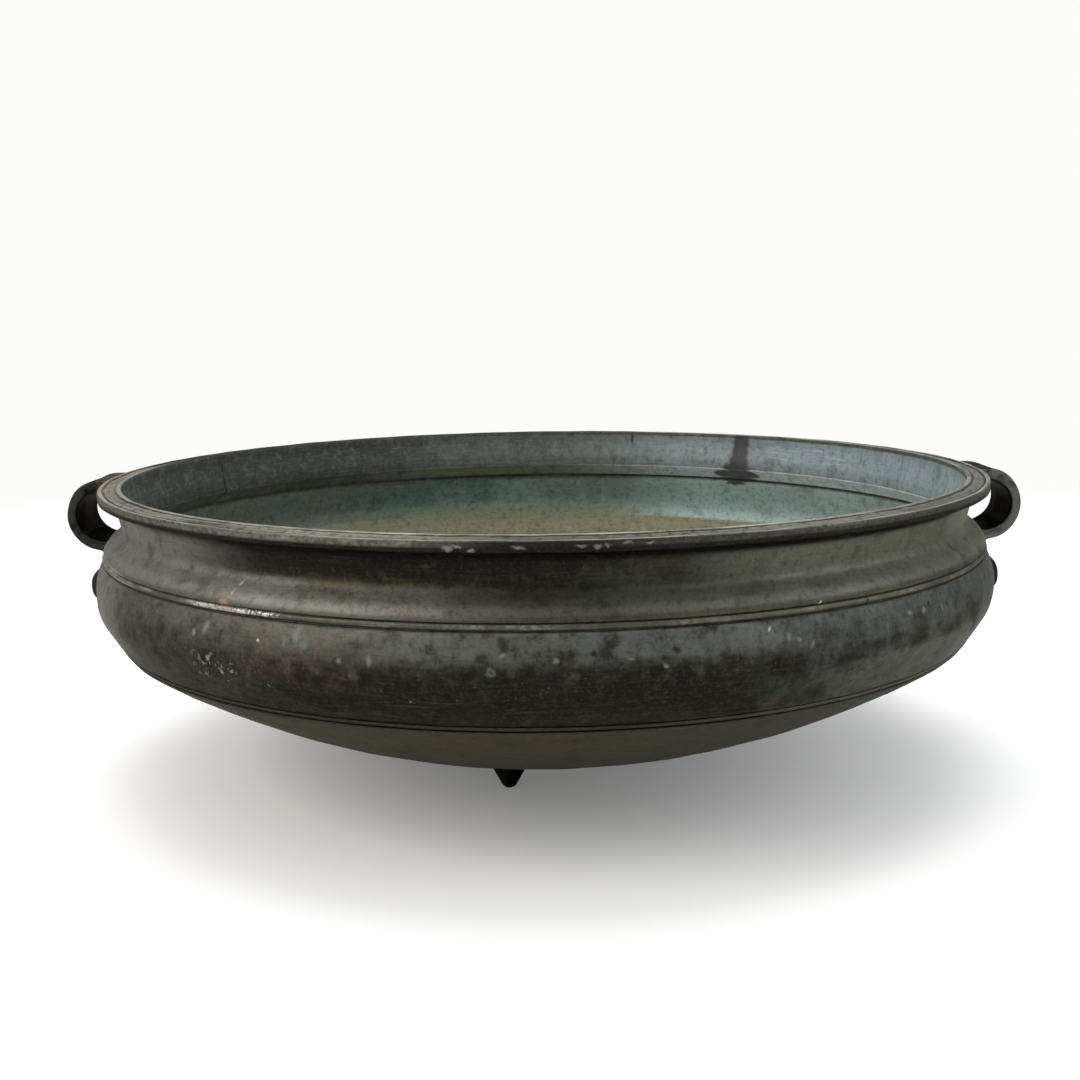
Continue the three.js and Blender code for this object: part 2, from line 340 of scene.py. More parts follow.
def strapOutline():
    centre = bowlHigh.x / mm - strap["loop"]
    top = vessel["height"] - strap["belowRim"]
    level = top - strap["loop"]
    bottom = level - strap["loop"]
    innerLoop = strap["loop"] - strap["thickness"]
    rootAngle = -math.pi / 2 - math.asin((centre - neckRadius) / (2 * innerLoop))
    rootAngle -= math.radians(strap["overlap"])
    hidden = mouthRadius + vessel["rimWidth"] / 2
    rootX = vessel["belly"] + strap["tailRoot"]
    tailX = vessel["belly"] + strap["tailReach"]
    endLevel = bottom - strap["tailEndDrop"]
    outline = [(hidden, top)]
    runTo(outline, (centre, top), 4)
    for i in range(1, 31):
        angle = math.radians(90 - 170 * i / 30)
        outline.append((centre + strap["loop"] * math.cos(angle), level + strap["loop"] * math.sin(angle)))
    bendTo(outline, (rootX, bottom), (rootX, bottom - strap["thickness"] / 2), 5)
    start, crest = outline[-1], (tailX, bottom - strap["tailDrop"])
    halfway = bottom - strap["tailDrop"] / 2
    for i in range(1, 13):
        t = i / 12
        bows = ((1 - t) ** 3, 3 * t * (1 - t) ** 2, 3 * t * t * (1 - t), t ** 3)
        outline.append((
            bows[0] * start[0] + bows[1] * rootX + (bows[2] + bows[3]) * tailX,
            bows[0] * start[1] + (bows[1] + bows[2]) * halfway + bows[3] * crest[1],
        ))
    bendTo(outline, (tailX, endLevel), (tailX - strap["tailReach"] / 2, endLevel), 8)
    sunk = strap["sunk"]
    runTo(outline, (taperTopRadius - sunk, endLevel), 4)
    outline.append((taperTopRadius - sunk, taperTop))
    outline.append((vessel["belly"] - sunk, bellyLevel))
    outline.append((bandRadius + vessel["bandBead"][0] - sunk, bandBottom))
    for i in range(29):
        angle = rootAngle + (math.radians(95) - rootAngle) * i / 28
        outline.append((centre + innerLoop * math.cos(angle), level + innerLoop * math.sin(angle)))
    runTo(outline, (hidden, level + innerLoop + strap["undersideRise"]), 4)
    return np.array([point[:2] for point in outline])


# The strap: its outline across the width, with rounded edges, spread where it joins the wall
def makeStrap(name, turn):
    outline = strapOutline()
    ahead, behind = np.roll(outline, -1, 0), np.roll(outline, 1, 0)
    along = ahead - behind
    normals = np.stack([-along[:, 1], along[:, 0]], 1) / np.linalg.norm(along, axis=1)[:, None]
    outer = np.array(outerProfile())
    outer = outer[outer[:, 1].argsort()]
    distance = np.maximum(outline[:, 0] - np.interp(outline[:, 1], outer[:, 1], outer[:, 0]), 0)
    spread = strap["rootSpread"] * np.exp(-distance / strap["rootReach"])
    rounding, half = strap["edgeRound"], strap["width"] / 2
    slices = [(share * (half - rounding), 0) for share in np.linspace(-1, 1, 13)]
    for i in range(1, 5):
        angle = math.radians(90 * i / 4)
        side = half - rounding + rounding * math.sin(angle)
        inset = rounding * (1 - math.cos(angle))
        slices = [(-side, inset)] + slices + [(side, inset)]
    flatInset = rounding + strap["sideMargin"]
    slices = [(-half, flatInset)] + slices + [(half, flatInset)]
    points = []
    for across, inset in slices:
        ring = outline - normals * inset
        side = across * (1 + spread / half)
        points.append(np.stack([ring[:, 0], side, ring[:, 1]], 1))
    count = len(outline)
    points = np.concatenate(points)
    bumps = swells(points, strap["lumpSize"], 21)[:, None] * strap["unevenness"]
    flat = np.tile(normals, (len(slices), 1))
    free = np.minimum(np.tile(distance, len(slices)) / 4, 1)[:, None]
    points[:, [0, 2]] -= flat * bumps * free
    faces = []
    for i in range(len(slices) - 1):
        for j in range(count):
            k = (j + 1) % count
            faces.append((i * count + j, i * count + k, (i + 1) * count + k, (i + 1) * count + j))
    faces.append(tuple(range(count))[::-1])
    faces.append(tuple((len(slices) - 1) * count + j for j in range(count)))
    made = meshObject(name, points, faces)
    made.data.transform(Matrix.Rotation(turn, 4, "Z"))
    return made


foot = {
    "count": 3,
    "circle": 150,       # radius of the circle that the feet stand on
    "turn": 14.5,        # degrees from the front to the first foot
    "tip": 4,            # radius of the flat that it stands on
    "tipRound": 4.5,
    "taper": 0.55,
    "fillet": 7,
    "square": 0.16,      # how far its flat sides are drawn in between the corners
}


def footProfile():
    surface = capCentre - math.sqrt(capRadius ** 2 - foot["circle"] ** 2)

    def sideAt(level):
        return foot["tip"] + foot["tipRound"] + foot["taper"] * (level - foot["tipRound"]), level

    path = [(0, 0)]
    runTo(path, (foot["tip"], 0), 2)
    bendTo(path, (foot["tip"] + foot["tipRound"] / 2, 0), sideAt(foot["tipRound"]), 4)
    runTo(path, sideAt(surface - foot["fillet"]), 4)
    filletEnd = (sideAt(surface)[0] + foot["fillet"], surface + vessel["wall"] / 2)
    bendTo(path, sideAt(surface - foot["fillet"] / 2), filletEnd, 7)
    return [(radius, level / filletEnd[1]) for radius, level, *_ in path]


# A stub foot: a blunt, slightly squared cone that follows the base where it joins it
def makeFoot(name, turn):
    profile = footProfile()
    steps = 32
    points, faces = [], []
    for radius, share in profile[1:]:
        for j in range(steps):
            angle = math.tau * j / steps
            drawn = radius * (1 - foot["square"] * math.sin(2 * angle) ** 2 * (1 - share))
            x = drawn * math.sin(angle)
            y = -foot["circle"] - drawn * math.cos(angle)
            reach = math.hypot(x, y)
            base = capCentre - math.sqrt(capRadius ** 2 - reach ** 2) + vessel["wall"] / 2
            points.append((x, y, share * base))
    rows = len(profile) - 1
    for i in range(rows - 1):
        for j in range(steps):
            k = (j + 1) % steps
            faces.append((i * steps + j, i * steps + k, (i + 1) * steps + k, (i + 1) * steps + j))
    faces.append(tuple(range(steps))[::-1])
    faces.append(tuple((rows - 1) * steps + j for j in range(steps)))
    made = meshObject(name, points, faces)
    made.data.transform(Matrix.Rotation(turn, 4, "Z"))
    return made


# Keeps only the largest connected part
def dropCrumbs(mesh):
    bm = bmesh.new()
    bm.from_mesh(mesh)
    unseen, groups = set(bm.verts), []
    while unseen:
        group, stack = set(), [unseen.pop()]
        while stack:
            vert = stack.pop()
            group.add(vert)
            for edge in vert.link_edges:
                other = edge.other_vert(vert)
                if other in unseen:
                    unseen.remove(other)
                    stack.append(other)
        groups.append(group)
    groups.sort(key=len)
    for group in groups[:-1]:
        bmesh.ops.delete(bm, geom=list(group), context="VERTS")
    bm.to_mesh(mesh)
    bm.free()


# Joins parts to the wall as one closed casting
def unite(casting, parts):
    for part in parts:
        joining = casting.modifiers.new("join", "BOOLEAN")
        joining.operation = "UNION"
        joining.solver = "MANIFOLD"
        joining.object = part
    evaluated = casting.evaluated_get(bpy.context.evaluated_depsgraph_get())
    joined = bpy.data.meshes.new_from_object(evaluated)
    casting.modifiers.clear()
    casting.data = joined
    dropCrumbs(joined)
    for part in parts:
        bpy.data.objects.remove(part)


def linear(hexColour):  # sRGB hex to the linear colour that shaders take
    channels = [int(hexColour[i:i + 2], 16) / 255 for i in (1, 3, 5)]
    return (*(c / 12.92 if c <= 0.04045 else ((c + 0.055) / 1.055) ** 2.4 for c in channels), 1)


def addNode(tree, kind, inputs=None, **settings):
    made = tree.nodes.new("ShaderNode" + kind)
    for name, value in settings.items():
        setattr(made, name, value)
    for key, value in (inputs or {}).items():
        if isinstance(value, bpy.types.NodeSocket):
            tree.links.new(value, made.inputs[key])
        else:
            made.inputs[key].default_value = value
    return made


drawing = {
    "lineStretch": 12,     # how many times longer than wide the turned lines are
    "streakSquash": 0.25,  # streaks run down the wall, four times as long as wide
    "wander": 6,           # millimetres by which the edges of marks stray
    "markDepth": 12,       # how far in and out of the surface a mark reaches
    "markEdge": 1.1,       # where a mark begins to show, as a share of its half width
    "roughness": 0.6,      # of the noise
    "coarse": 20,          # patterns above this size are drawn with more detail
    "fineDetail": 3,
    "coarseDetail": 5,
    "zoneSpare": 5,        # how far past a zone a layer is still kept, for ragged edges
}


# Where a point is on the vessel, and the spaces that its patterns are drawn in
def surfaceFields(tree):
    coordinates = addNode(tree, "TexCoord")
    found = coordinates.outputs["Object"]
    axes = addNode(tree, "SeparateXYZ", {0: found}).outputs
    level = axes["Z"]
    place = addNode(tree, "CombineXYZ", {"X": axes["X"], "Y": axes["Y"], "Z": level}).outputs[0]
    flat = addNode(tree, "CombineXYZ", {"X": axes["X"], "Y": axes["Y"]}).outputs[0]
    radius = addNode(tree, "VectorMath", {0: flat}, operation="LENGTH").outputs["Value"]
    outward = addNode(tree, "VectorMath", {0: flat}, operation="NORMALIZE").outputs[0]
    sideways = addNode(tree, "Math", {0: axes["X"], 1: radius}, operation="DIVIDE").outputs[0]
    ringScale = rimRadius * mm / drawing["lineStretch"]
    ring = addNode(tree, "VectorMath", {0: outward, "Scale": ringScale}, operation="SCALE").outputs[0]
    height = addNode(tree, "Math", {0: level, 1: radius}, operation="ADD").outputs[0]
    upright = addNode(tree, "CombineXYZ", {"Z": height}).outputs[0]
    turned = addNode(tree, "VectorMath", {0: ring, 1: upright}, operation="ADD").outputs[0]
    squash = (1, 1, drawing["streakSquash"])
    streaked = addNode(tree, "VectorMath", {0: place, 1: squash}, operation="MULTIPLY").outputs[0]
    wander = drawing["wander"] * mm
    noise = addNode(tree, "TexNoise", {"Vector": found, "Scale": 1 / wander, "Detail": 3})
    centred = addNode(tree, "VectorMath", {
        0: noise.outputs["Color"], 1: (0.5, 0.5, 0.5),
    }, operation="SUBTRACT").outputs[0]
    shifted = addNode(tree, "VectorMath", {0: centred, "Scale": wander}, operation="SCALE").outputs[0]
    ragged = addNode(tree, "VectorMath", {0: place, 1: shifted}, operation="ADD").outputs[0]
    return {
        "place": place, "level": level, "radius": radius, "outward": outward,
        "sideways": addNode(tree, "Math", {0: sideways}, operation="ABSOLUTE").outputs[0],
        "turned": turned, "streaked": streaked, "ragged": ragged,
        "normal": coordinates.outputs["Normal"], "patterns": {},
    }


# A noise pattern, made once for each size; layers that lie apart can share it
def patternOf(tree, fields, layer):
    drawn, size = layer.get("drawn", "place"), layer["size"]
    if (drawn, size) not in fields["patterns"]:
        fields["patterns"][drawn, size] = addNode(tree, "TexNoise", {
            "Vector": fields[drawn], "Scale": 1 / (size * mm), "Roughness": drawing["roughness"],
            "Detail": drawing["coarseDetail" if size > drawing["coarse"] else "fineDetail"],
        }).outputs["Fac"]
    return fields["patterns"][drawn, size]


# The distance to the nearest of some marks, 1 at the edge of each
def markDistance(tree, fields, marks):
    nearest = None
    for azimuth, radius, level, width, height, turn in marks:
        angle = math.radians(azimuth)
        local = addNode(tree, "Mapping", {
            "Vector": fields["ragged"],
            "Location": (radius * mm * math.sin(angle), -radius * mm * math.cos(angle), level * mm),
            "Rotation": (0, math.radians(turn), angle),
            "Scale": (width * mm / 2, drawing["markDepth"] * mm, height * mm / 2),
        }, vector_type="TEXTURE").outputs[0]
        distance = addNode(tree, "VectorMath", {0: local}, operation="LENGTH").outputs["Value"]
        if nearest:
            distance = addNode(tree, "Math", {0: nearest, 1: distance}, operation="MINIMUM").outputs[0]
        nearest = distance
    return nearest


# Where one layer of the patina lies, from 0 to 1
def coverage(tree, fields, layer):
    masks = []

    def ease(value, start, end):
        masks.append(addNode(tree, "MapRange", {
            "Value": value, "From Min": start, "From Max": end,
        }, interpolation_type="SMOOTHSTEP", clamp=False).outputs[0])  # this step stays in 0 to 1 by itself

    if "size" in layer:
        ease(patternOf(tree, fields, layer), *layer["between"])
    for key, field in (("levels", "level"), ("radii", "radius")):
        if key in layer:
            low, high, soft = layer[key]
            ease(fields[field], (low - soft) * mm, low * mm)
            ease(fields[field], (high + soft) * mm, high * mm)
    if "azimuth" in layer:
        centre, half, soft = (math.radians(value) for value in layer["azimuth"])
        facing = addNode(tree, "VectorMath", {
            0: fields["outward"], 1: (math.sin(centre), -math.cos(centre), 0),
        }, operation="DOT_PRODUCT").outputs["Value"]
        ease(facing, math.cos(min(half + soft, math.pi)), math.cos(half))
    if "handles" in layer:  # around both straps, in degrees from their middle
        half, soft = (math.radians(value) for value in layer["handles"])
        ease(fields["sideways"], math.cos(half + soft), math.cos(half))
    if "faces" in layer:
        direction, start, end = layer["faces"]
        facing = addNode(tree, "VectorMath", {0: fields["normal"], 1: direction}, operation="DOT_PRODUCT")
        ease(facing.outputs["Value"], start, end)
    if "marks" in layer:
        ease(markDistance(tree, fields, layer["marks"]), drawing["markEdge"], layer.get("core", 0.5))
    cover = masks[0]
    for mask in masks[1:]:
        cover = addNode(tree, "Math", {0: cover, 1: mask}, operation="MULTIPLY").outputs[0]
    return addNode(tree, "Math", {0: cover, 1: layer["amount"]}, operation="MULTIPLY").outputs[0]


# The layers and marks that reach a zone between two levels; the rest would only slow its material down
def layersWithin(layers, low, high):
    low -= drawing["zoneSpare"]
    high += drawing["zoneSpare"]
    kept = []
    for layer in layers:
        if "levels" in layer:
            bottom, top, soft = layer["levels"]
            if top + soft < low or bottom - soft > high:
                continue
        if "marks" in layer:
            near = [mark for mark in layer["marks"]
                    if low - max(mark[3:5]) < mark[2] < high + max(mark[3:5])]
            if not near:
                continue
            layer = {**layer, "marks": near}
        kept.append(layer)
    return kept


# One layer of a look: its colour, how much of it there is at most, and where it lies
def coat(colour, amount, **place):
    return {"colour": colour, "amount": amount, **place}


# Bronze under its patina: a ground tone by level, then the layers one over another
def patinatedBronze(name, look, low=-math.inf, high=math.inf):
    material = bpy.data.materials.new(name)
    material.use_nodes = True
    tree = material.node_tree
    tree.nodes.clear()
    fields = surfaceFields(tree)
    top = vessel["height"] * mm
    share = addNode(tree, "Math", {0: fields["level"], 1: top}, operation="DIVIDE").outputs[0]
    ramp = addNode(tree, "ValToRGB", {"Fac": share})
    stops = ramp.color_ramp.elements
    for i, (level, tone) in enumerate(look["ground"]):
        position = level * mm / top
        stop = stops[i] if i < 2 else stops.new(position)
        stop.position = position
        stop.color = linear(tone)
    colour = ramp.outputs["Color"]
    roughness, metal, height = look["roughness"], look["metallic"], 0.0
    for layer in layersWithin(look["layers"], low, high):
        cover = coverage(tree, fields, layer)
        colour = addNode(tree, "Mix", {0: cover, 6: colour, 7: linear(layer["colour"])},
                         data_type="RGBA", blend_type=layer.get("blend", "MIX")).outputs[2]
        if "roughness" in layer:
            roughness = addNode(tree, "Mix", {0: cover, 2: roughness, 3: layer["roughness"]}).outputs[0]
        if "metallic" in layer:
            metal = addNode(tree, "Mix", {0: cover, 2: metal, 3: layer["metallic"]}).outputs[0]
        if "raised" in layer:
            height = addNode(tree, "Math", {0: cover, 1: layer["raised"], 2: height},
                             operation="MULTIPLY_ADD").outputs[0]
    for size, drawn, depth in look["relief"]:
        pattern = patternOf(tree, fields, {"drawn": drawn, "size": size})
        height = addNode(tree, "Math", {0: pattern, 1: depth, 2: height},
                         operation="MULTIPLY_ADD").outputs[0]
    bump = addNode(tree, "Bump", {"Height": height, "Distance": mm, "Strength": 1.0})
    shader = addNode(tree, "BsdfPrincipled", {
        "Base Color": colour, "Roughness": roughness, "Metallic": metal, "Normal": bump.outputs[0],
        "Specular Tint": linear(look["edgeTint"]),
    })
    output = addNode(tree, "OutputMaterial", {"Surface": shader.outputs[0]})
    output.is_active_output = True
    return material


up, front = (0, 0, 1), (0, -1, 0)

# In a look, lengths are in millimetres and angles in degrees, from the front towards +X. Azimuth is
# centre, half width and softness; levels and radii are low, high and softness; size and between are
# a pattern's size and the values where it starts to show and is full; faces is a direction and the
# same two values for its dot with the normal. A mark is azimuth, radius, level, width, height and
# turn. Relief is size, kind of pattern and depth.

# Smoke-blackened cast bronze: a rough brown-black skin, worn grey in places, with painted highlights on
# what stands proud and painted shade in its hollows.
# Every zone of the outside has a material with this look, named after the zone.
sootyBronze = {
    "roughness": 0.55,
    "metallic": 0.85,
    "edgeTint": "#b3b2ae",  # soot dulls the sheen that a clean casting has at a glancing angle
    # The ground tone paints shade: black in the hollow under the rim's flange, darker in the grooves of the
    # band and the low line, darker low on the belly and at the base.
    "ground": [  # level and colour
        (0, "#15130e"), (300, "#3d3c35"), (30, "#403c34"), (120, "#494439"), (146, "#474238"),
        (147.6, "#211f19"), (148.6, "#15130e"), (149.6, "#3a372d"), (151.6, "#36342b"),
        (153.0, "#17150f"), (154.4, "#2b2821"), (172, "#1c1a15"), (188, "#1a1813"), (203, "#282621"),
        (217, "#3d3b35"), (227, "#423f38"), (228.9, "#35332c"), (229.6, "#2b2922"), (231, "#45433b"),
        (234.2, "#55534a"), (235.6, "#302e27"), (236.8, "#403e37"), (243, "#4b4942"), (250, "#47443d"),
        (258, "#302e27"), (267, "#26241e"), (277, "#1e1c16"), (284, "#13110d"), (289.5, "#16140f"),
        (293, "#211f1a"), (297, "#37352e"),
    ],
    "layers": [
        # Broad tones: purplish grey at the left and olive grey at the right, made lighter towards both
        # sides as painted light; darker in the middle.
        coat("#7d7a75", 0.85, levels=(243, 254, 9), azimuth=(-52, 32, 20), size=60, between=(0.2, 0.5)),
        coat("#75726e", 0.8, levels=(254, 280, 9), azimuth=(-74, 22, 22), size=60, between=(0.2, 0.52)),
        coat("#57544e", 0.8, levels=(208, 234, 14), azimuth=(-60, 34, 22), size=60, between=(0.8, 0.35)),
        coat("#3f3c36", 0.8, levels=(160, 206, 14), azimuth=(-70, 26, 24), size=30, between=(0.25, 0.6)),
        coat("#7a7772", 0.9, levels=(176, 234, 16), azimuth=(-86, 21, 14), size=60, between=(0.2, 0.6)),
        coat("#5a5c50", 0.9, levels=(250, 279, 5), azimuth=(62, 34, 32), size=60, between=(0.15, 0.5)),
        coat("#6c6e62", 0.7, levels=(243, 283, 5), azimuth=(82, 14, 16), size=60, between=(0.15, 0.5)),
        coat("#65665a", 0.75, levels=(243, 256, 4), azimuth=(62, 36, 30), size=60, between=(0.15, 0.5)),
        coat("#4d514b", 0.85, levels=(158, 230, 8), azimuth=(68, 28, 24), size=30, between=(0.25, 0.6)),
        coat("#5c5e56", 0.6, levels=(152, 184, 10), azimuth=(70, 30, 22), size=60, between=(0.2, 0.55)),
        coat("#5d605a", 0.8, levels=(213, 228, 12), azimuth=(5, 14, 12), size=14, between=(0.32, 0.6)),
        # Darker in the middle under the rim and low on the belly: partly soot, partly painted shade.
        coat("#14120d", 0.85, levels=(265, 287, 18), azimuth=(-9, 15, 18), size=60, between=(0.75, 0.45)),
        coat("#181610", 0.7, levels=(158, 196, 9), azimuth=(-2, 26, 22), size=30, between=(0.66, 0.4)),
        coat("#171510", 0.5, levels=(190, 199, 6), azimuth=(32, 24, 10), size=30, between=(0.62, 0.42)),
        coat("#43302a", 0.5, levels=(184, 206, 9), azimuth=(-24, 4, 6), size=14, between=(0.4, 0.65)),
        coat("#47432f", 0.5, levels=(246, 260, 8), azimuth=(-17, 5, 8), size=30, between=(0.4, 0.6)),
        coat("#50402f", 0.4, levels=(250, 284, 5), size=14, between=(0.58, 0.75)),
        coat("#5b3f38", 0.35, levels=(236, 243, 3), azimuth=(-13.5, 1.2, 1.5), size=6, between=(0.4, 0.6)),
        # Mottling, from palm-sized clouds down to grain
        coat("#15130f", 0.4, size=30, between=(0.52, 0.72)),
        coat("#605f56", 0.3, size=14, between=(0.5, 0.75), levels=(196, 228, 10)),
        coat("#14120d", 0.35, size=14, between=(0.5, 0.3), levels=(160, 226, 8)),
        coat("#12100c", 0.3, size=6, between=(0.5, 0.3)),
        coat("#605f56", 0.12, size=6, between=(0.5, 0.75), levels=(160, 262, 12)),
        coat("#6f6e64", 0.07, size=2.6, between=(0.48, 0.72)),
        coat("#0f0e0a", 0.2, size=2.6, between=(0.5, 0.3)),
        coat("#6b6a60", 0.06, size=2.4, drawn="turned", between=(0.48, 0.75)),
        coat("#0f0e0a", 0.2, size=2.4, drawn="turned", between=(0.5, 0.28)),
        # The band: its bead lighter in broken stretches and at the left, as painted highlights, and scraped
        # bright in one stretch; a painted highlight on the shoulder's edge at the left; its grooves half
        # filled with crust
        # Broken light along the bead: painted highlight
        coat("#7f7d72", 0.7, levels=(231.2, 234.2, 0.8), size=6, drawn="turned", between=(0.44, 0.68),
             roughness=0.45),
        coat("#47463d", 0.8, levels=(228.6, 236.8, 0.4), size=6, between=(0.42, 0.56)),
        coat("#57533d", 0.45, levels=(231, 238, 2), azimuth=(30, 12, 9), size=6, drawn="turned",
             between=(0.36, 0.62)),
        coat("#bdb9ae", 0.8, levels=(231.8, 235, 0.8), azimuth=(-33.8, 4.6, 2.5), size=2.6,
             between=(0.38, 0.62), roughness=0.4),
        # Lighter bead at the left: painted light
        coat("#8f8c84", 0.6, levels=(231.8, 235, 0.8), azimuth=(-56, 14, 8), size=6, drawn="turned",
             between=(0.42, 0.62), roughness=0.45),
        # Light edge of the shoulder at the left: painted highlight
        coat("#aaa69c", 0.7, levels=(234.4, 237.2, 0.8), azimuth=(-68, 8, 5), size=6, drawn="turned",
             between=(0.4, 0.6)),
        coat("#4f4d41", 0.6, levels=(148.8, 154.5, 1), azimuth=(52, 26, 18), size=6, drawn="turned",
             between=(0.35, 0.6)),
        # The rim: grey on top and, as painted light, lighter at both sides; painted highlights on the bead
        # crests and painted shade at their feet; crust on the face. The painted shade that blackens it
        # under its edge is in the ground tone.
        # Outer face lighter at the left and right: painted light
        coat("#6b6860", 0.85, levels=(294.2, 299, 2.6), radii=(448, 452, 1), azimuth=(-62, 46, 12)),
        coat("#4b4a42", 0.8, levels=(294, 299, 2), radii=(448, 452, 1), azimuth=(62, 46, 14)),
        coat("#24221d", 0.5, levels=(289, 297, 2), radii=(448, 452, 1), size=6, between=(0.42, 0.6)),
        coat("#55544b", 0.9, levels=(295, 305, 1), radii=(425, 448.8, 0.6), faces=(up, 0.2, 0.7), size=14,
             drawn="turned", between=(0.2, 0.5), roughness=0.5),
        # Top lighter at the left and right: painted light
        coat("#8a887f", 0.6, levels=(296, 305, 0.6), radii=(426, 449.5, 0.6), azimuth=(-62, 36, 26),
             size=14, drawn="turned", between=(0.3, 0.6)),
        coat("#85887d", 0.4, levels=(296, 305, 0.6), radii=(426, 449.5, 0.6), azimuth=(62, 36, 26),
             size=14, drawn="turned", between=(0.7, 0.4)),
        coat("#211f1a", 0.65, levels=(296, 305, 0.6), radii=(425, 452, 0.5), size=6, between=(0.5, 0.34)),
        # Dark line at the inner bead's foot: painted shade
        coat("#16140f", 0.85, levels=(296, 300, 0.5), radii=(432.7, 434.1, 0.9), size=14,
             between=(0.25, 0.45)),
        coat("#16140f", 0.6, levels=(296, 300, 0.5), radii=(438.6, 439.2, 0.7), size=6, drawn="turned",
             between=(0.42, 0.6)),
        # Dark line at the outer bead's foot: painted shade
        coat("#16140f", 0.85, levels=(296, 298.5, 0.5), radii=(443.8, 445.4, 0.9), size=14,
             between=(0.25, 0.45)),
        # Light on the crests of both beads: painted highlights
        coat("#8f8e83", 0.7, levels=(299.4, 305, 0.4), size=6, drawn="turned", between=(0.36, 0.6),
             roughness=0.45),
        coat("#96958a", 0.8, levels=(297.2, 305, 0.5), radii=(446.2, 448.6, 0.6), size=6, drawn="turned",
             between=(0.62, 0.4), roughness=0.45),
        coat("#85786e", 0.6, levels=(295, 305, 1), azimuth=(-86, 10, 12), faces=(up, 0.3, 0.8), size=14,
             between=(0.35, 0.6)),
        coat("#1a1813", 0.85, levels=(294, 305, 1), azimuth=(-148, 42, 14)),
        coat("#77766c", 0.8, core=0.2, metallic=0.2, roughness=0.85, raised=1.0, marks=[
             (-9.1, 450, 292.3, 10, 5, 0), (-8.2, 450, 293.5, 12, 3, 0), (-6.8, 450, 290.8, 7, 5, 0),
             (-2.4, 450, 293, 12, 4, 4), (3.4, 450, 293.8, 9, 3, 0), (5.0, 450, 292.8, 9, 4, -6),
             (5.9, 450, 294, 6, 4, 30), (7.8, 450, 295, 10, 3, 0), (10, 450, 294, 8, 3, 0),
             (-13.5, 450, 295.5, 18, 3, 0), (-19, 450, 295.5, 14, 3, 0), (-26, 450, 295, 16, 4, 0),
        ]),
        # The wall between a strap and its root: near black, painted shade
        coat("#020202", 0.97, radii=(444, 476, 4), levels=(232, 287, 4), handles=(4.3, 0.6), metallic=1.0,
             roughness=0.7),
        coat("#5d5048", 0.55, radii=(449, 462, 4), levels=(280, 305, 4), azimuth=(-90, 8, 3), size=6,
             between=(0.35, 0.55)),
        # Single marks on the front
        coat("#8d7467", 0.85, core=0.2, roughness=0.45, marks=[
            (-34.6, 448, 234.2, 19, 9, 8), (-35.0, 447, 237.6, 12, 7, 0),
        ]),
        coat("#b5b1a6", 0.75, core=0.2, marks=[
            (-33.7, 437, 252.4, 2.4, 7, 25), (-34.0, 444, 246, 1.8, 8, 25), (-37.9, 448.5, 233.8, 12, 3, 8),
            (-32.4, 448.5, 233.0, 7, 2.6, 0), (-30.4, 448.5, 232.8, 5, 2.6, 0),
            (-29.5, 455, 214, 4.5, 2.6, 15), (28.6, 449, 237, 5, 3, 0), (22.2, 451, 222.3, 2.4, 7, 35),
        ]),
        coat("#74776f", 0.7, core=0.1, metallic=0.3, roughness=0.8, marks=[
            (-36.8, 454, 217, 7, 16, 22), (-38.6, 455, 211, 6, 10, 20), (-16.9, 456, 206, 6, 10, 0),
            (-20, 456, 205, 5, 6, 0), (17.9, 450, 231.5, 9, 4, 0), (11.3, 457, 203, 6, 5, 0),
            (24.2, 454, 214.5, 4, 8, 30), (25.4, 455, 212, 5, 5, 0), (26.9, 456, 207.5, 4, 7, 20),
            (41, 454, 216, 9, 5, 0), (43.6, 454, 215, 7, 6, 0), (47.3, 454, 213, 3, 9, -20),
            (-28.6, 453, 178, 4, 3, 0), (-13, 451, 175, 4, 3, 0), (-5.1, 457, 201, 9, 9, 0),
            (-4, 455, 213, 7, 5, 0), (1, 456, 209, 6, 5, 0), (8, 456, 209, 7, 4, 0),
        ]),
        coat("#0d0c09", 0.75, core=0.2, marks=[
            (34.9, 447, 232, 4, 7, -25), (44.8, 454, 219, 4, 7, -20), (48.6, 454, 214, 4, 9, -15),
            (12.4, 456, 214, 12, 7, 0), (-5.1, 457, 201, 5, 5, 0), (4.5, 456, 213, 8, 6, 0),
        ]),
        coat("#5d6b6a", 0.6, core=0.0, marks=[
            (-25, 454, 220, 9, 22, 0), (-24, 455, 214, 12, 8, 0), (-26.3, 455, 214, 6, 12, 0),
        ]),
        coat("#8e9087", 0.6, levels=(182, 190, 12), azimuth=(-35.3, 0.2, 4.6), size=6,
             between=(0.56, 0.68), metallic=0.3),
        coat("#8b8d85", 0.3, levels=(176, 228, 6), size=2.6, between=(0.68, 0.78), metallic=0.3),
        coat("#5b4d39", 0.35, levels=(158, 176, 4), size=6, drawn="turned", between=(0.55, 0.75)),
    ],
    "relief": [(2.6, "place", 0.2), (14, "place", 0.6), (2.4, "turned", 0.14)],
}

